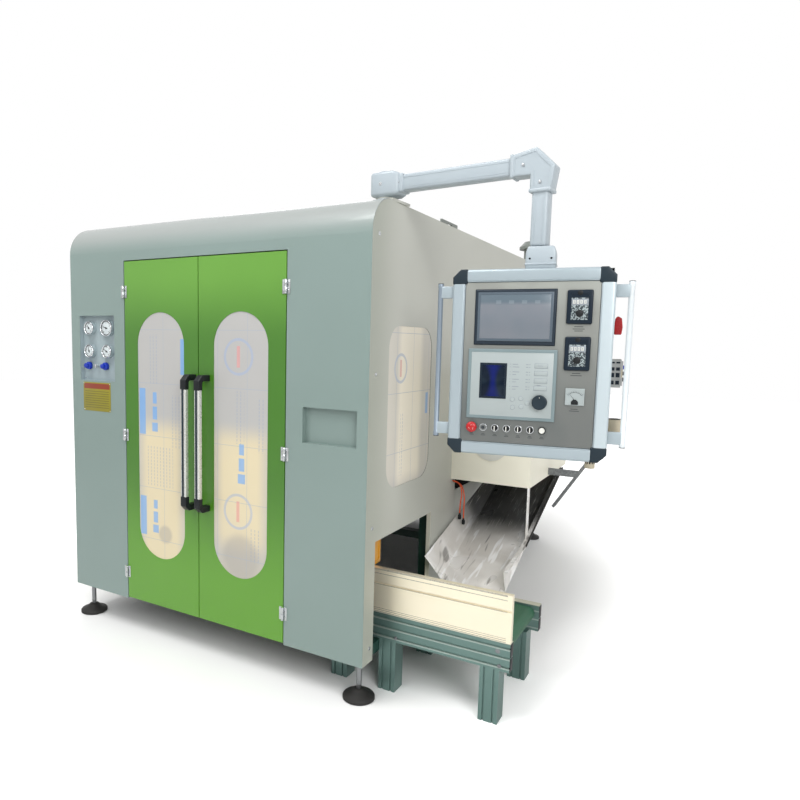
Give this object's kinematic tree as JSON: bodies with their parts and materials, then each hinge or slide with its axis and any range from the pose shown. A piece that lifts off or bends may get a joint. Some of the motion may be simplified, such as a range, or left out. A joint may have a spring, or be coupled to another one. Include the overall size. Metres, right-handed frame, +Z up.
{
  "type": "blow moulding machine",
  "caption": "Extrusion blow moulding machine: cabinet with double doors, hanging control panel on a swing arm, outlet chute and belt conveyor.",
  "frame": {"origin": "middle of the whole machine's footprint, on the floor", "axes": "+Z up, the doors face -Y, +Y runs to the back of the cabinet, +X towards the chute and the hanging panel"},
  "size_m": [2.7531, 3.073, 2.395],
  "materials": {
    "front_paint": "satin",
    "side_paint": "satin",
    "cream_paint": "satin",
    "door_paint": "satin",
    "green_paint": "satin",
    "yellow_paint": "gloss",
    "blue_paint": "gloss",
    "stainless": "brushed",
    "steel": "ground",
    "chrome": "polished",
    "aluminium": "anodised",
    "mould_metal": "machined",
    "window": "clear with film",
    "black_rubber": "matte",
    "belt": "matte",
    "dark_plastic": "matte",
    "blue_plastic": "gloss",
    "red_plastic": "gloss",
    "white_plastic": "matte",
    "orange_cable": "matte",
    "screen_plastic": "satin",
    "controller_plastic": "matte"
  },
  "bodies": {
    "cabinet": {"base_frame": "green_paint", "front_cover": "front_paint", "right_side_panel": "side_paint", "left_side_panel": "side_paint", "roof_panel": "side_paint", "rear_panel": "side_paint", "side_window": "window", "gauge_plate": "front_paint", "levelling_feet": "black_rubber", "hinge_pins": "chrome", "conveyor_frame": "aluminium", "conveyor_belt": "belt", "conveyor_gearmotor": "yellow_paint", "bottle_chute": "stainless", "outlet_hood": "cream_paint", "orange_cable_long": "orange_cable", "orange_cable_short": "orange_cable", "cable_plugs": "dark_plastic", "arm_base": "side_paint", "extruder_barrel": "steel", "extruder_gearmotor": "blue_paint", "die_head": "steel", "hopper": "stainless", "clamp_unit": "steel"},
    "left_door": {"door_left": "door_paint", "door_window_left": "window", "door_handle_left": "aluminium"},
    "right_door": {"door_right": "door_paint", "door_window_right": "window", "door_handle_right": "aluminium"},
    "swing_arm": {"arm_head": "aluminium", "arm_tubes": "aluminium", "arm_elbow": "aluminium"},
    "control_panel": {"panel_coupling": "dark_plastic", "panel_frame": "aluminium", "panel_corner_caps": "dark_plastic", "panel_face": "stainless", "panel_rear_cover": "side_paint", "touch_screen": "screen_plastic", "parison_controller": "controller_plastic", "panel_instruments": "dark_plastic", "panel_grab_handles": "dark_plastic", "panel_side_fittings": "white_plastic"},
    "regulator_knob_left_body": {"regulator_knob_left": "blue_plastic"},
    "regulator_knob_right_body": {"regulator_knob_right": "blue_plastic"},
    "drive_roller_body": {"drive_roller": "steel"},
    "idler_roller_body": {"idler_roller": "steel"},
    "controller_knob_body": {"controller_knob": "dark_plastic"},
    "stop_button_body": {"stop_button": "red_plastic"},
    "selector_1_body": {"selector_1": "dark_plastic"},
    "selector_2_body": {"selector_2": "dark_plastic"},
    "selector_3_body": {"selector_3": "dark_plastic"},
    "selector_4_body": {"selector_4": "dark_plastic"},
    "start_button_body": {"start_button": "white_plastic"},
    "main_switch_lever_body": {"main_switch_lever": "red_plastic"},
    "extruder_screw_body": {"extruder_screw": "steel"},
    "hopper_lid_body": {"hopper_lid": "stainless"},
    "mould_left_body": {"mould_left": "mould_metal"},
    "mould_right_body": {"mould_right": "mould_metal"},
    "blow_pin_body": {"blow_pin": "steel"}
  },
  "joints": [
    {"name": "left_door_hinge", "type": "hinge", "parent": "cabinet", "child": "left_door", "pos_m": [-0.95, -1.4715, 1.036], "axis": [0, 0, -1], "range_deg": [0, 105]},
    {"name": "right_door_hinge", "type": "hinge", "parent": "cabinet", "child": "right_door", "pos_m": [0.04, -1.4715, 1.036], "axis": [0, 0, 1], "range_deg": [0, 105]},
    {"name": "arm_swing", "type": "hinge", "parent": "cabinet", "child": "swing_arm", "pos_m": [0.3735, -1.2135, 2.138], "axis": [0, 0, 1], "range_deg": [-50, 20]},
    {"name": "panel_swivel", "type": "hinge", "parent": "swing_arm", "child": "control_panel", "pos_m": [1.03688, -1.25989, 1.895], "axis": [0, 0, 1], "range_deg": [-80, 80]},
    {"name": "regulator_left_turn", "type": "hinge", "parent": "cabinet", "child": "regulator_knob_left_body", "pos_m": [-1.2375, -1.4635, 1.383], "axis": [0, -1, 0], "range_deg": [-170, 170]},
    {"name": "regulator_right_turn", "type": "hinge", "parent": "cabinet", "child": "regulator_knob_right_body", "pos_m": [-1.1105, -1.4635, 1.383], "axis": [0, -1, 0], "range_deg": [-170, 170]},
    {"name": "drive_roller_turn", "type": "hinge", "parent": "cabinet", "child": "drive_roller_body", "pos_m": [0.2335, -1.0235, 0.31], "axis": [0, 1, 0], "continuous": true},
    {"name": "idler_roller_turn", "type": "hinge", "parent": "cabinet", "child": "idler_roller_body", "pos_m": [0.9545, -1.0235, 0.31], "axis": [0, 1, 0], "continuous": true},
    {"name": "controller_knob_turn", "type": "hinge", "parent": "control_panel", "child": "controller_knob_body", "pos_m": [1.08196, -1.33036, 1.322], "axis": [0.1668, -0.986, 0], "continuous": true},
    {"name": "stop_button_press", "type": "slide", "parent": "control_panel", "child": "stop_button_body", "axis": [-0.1668, 0.986, 0], "range_m": [0, 0.006]},
    {"name": "selector_1_turn", "type": "hinge", "parent": "control_panel", "child": "selector_1_body", "pos_m": [0.92795, -1.35641, 1.218], "axis": [0.1668, -0.986, 0], "range_deg": [-45, 45]},
    {"name": "selector_2_turn", "type": "hinge", "parent": "control_panel", "child": "selector_2_body", "pos_m": [0.96986, -1.34932, 1.218], "axis": [0.1668, -0.986, 0], "range_deg": [-45, 45]},
    {"name": "selector_3_turn", "type": "hinge", "parent": "control_panel", "child": "selector_3_body", "pos_m": [1.01176, -1.34223, 1.218], "axis": [0.1668, -0.986, 0], "range_deg": [-45, 45]},
    {"name": "selector_4_turn", "type": "hinge", "parent": "control_panel", "child": "selector_4_body", "pos_m": [1.05367, -1.33514, 1.218], "axis": [0.1668, -0.986, 0], "range_deg": [-45, 45]},
    {"name": "start_button_press", "type": "slide", "parent": "control_panel", "child": "start_button_body", "axis": [-0.1668, 0.986, 0], "range_m": [0, 0.003], "stiffness_N_per_m": 300, "springref_m": -0.001},
    {"name": "main_switch_turn", "type": "hinge", "parent": "control_panel", "child": "main_switch_lever_body", "pos_m": [1.29188, -1.19647, 1.573], "axis": [0.986, 0.1668, 0], "range_deg": [0, 90]},
    {"name": "extruder_screw_turn", "type": "hinge", "parent": "cabinet", "child": "extruder_screw_body", "pos_m": [-0.4565, 0.2365, 1.73], "axis": [0, 1, 0], "continuous": true},
    {"name": "hopper_lid_hinge", "type": "hinge", "parent": "cabinet", "child": "hopper_lid_body", "pos_m": [-0.4565, 0.9565, 2.387], "axis": [-1, 0, 0], "range_deg": [0, 105]},
    {"name": "mould_left_slide", "type": "slide", "parent": "cabinet", "child": "mould_left_body", "axis": [1, 0, 0], "range_m": [0, 0.13]},
    {"name": "mould_right_slide", "type": "slide", "parent": "cabinet", "child": "mould_right_body", "axis": [-1, 0, 0], "range_m": [0, 0.13]},
    {"name": "blow_pin_slide", "type": "slide", "parent": "cabinet", "child": "blow_pin_body", "axis": [0, 0, 1], "range_m": [0, 0.08]}
  ],
  "couplings": [
    {"joint": "idler_roller_turn", "follows": "drive_roller_turn", "ratio": 1},
    {"joint": "mould_right_slide", "follows": "mould_left_slide", "ratio": 1}
  ]
}
